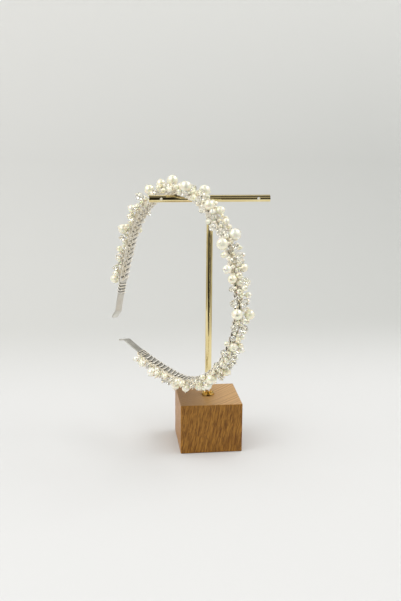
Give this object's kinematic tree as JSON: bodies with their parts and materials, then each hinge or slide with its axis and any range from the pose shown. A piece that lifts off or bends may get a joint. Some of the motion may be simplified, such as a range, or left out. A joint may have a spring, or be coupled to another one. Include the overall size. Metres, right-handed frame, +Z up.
{
  "type": "bridal pearl headband on a t-bar display stand",
  "caption": "Springy steel headband wound with wire and crowded with pearls and cut crystals, hung on a brass T-bar that stands in a beech block.",
  "frame": {"origin": "middle of the underside of the beech block", "axes": "+X along the cross bar to its bare end, +Y to the back, +Z up along the post"},
  "size_m": [0.1056, 0.1211, 0.1853],
  "materials": {
    "beech": "planed and lightly oiled",
    "brass": "polished",
    "steel": "satin plated",
    "wire": "bright silver-plated wire",
    "pearl": "ivory pearl lacquer over glass",
    "crystal": "cut and polished"
  },
  "bodies": {
    "root": {"wood_block": "beech", "post": "brass", "cross_bar": "brass", "cup_washer": "brass", "strip": "steel", "wire_binding": "wire", "small_pearls": "pearl", "small_crystals": "crystal", "pearl_01": "pearl", "pearl_02": "pearl", "pearl_03": "pearl", "pearl_04": "pearl", "pearl_05": "pearl", "pearl_06": "pearl", "pearl_07": "pearl", "pearl_08": "pearl", "pearl_09": "pearl", "pearl_10": "pearl", "pearl_11": "pearl", "pearl_12": "pearl", "pearl_13": "pearl", "pearl_14": "pearl", "pearl_15": "pearl", "pearl_16": "pearl", "pearl_17": "pearl", "pearl_18": "pearl", "pearl_19": "pearl", "pearl_20": "pearl", "pearl_21": "pearl", "pearl_22": "pearl", "pearl_23": "pearl", "pearl_24": "pearl", "pearl_25": "pearl", "pearl_26": "pearl", "crystal_01": "crystal", "crystal_02": "crystal", "crystal_03": "crystal", "crystal_04": "crystal", "crystal_05": "crystal", "crystal_06": "crystal", "crystal_07": "crystal", "crystal_08": "crystal", "crystal_09": "crystal", "crystal_10": "crystal", "crystal_11": "crystal", "crystal_12": "crystal", "crystal_13": "crystal", "crystal_14": "crystal"}
  },
  "joints": []
}
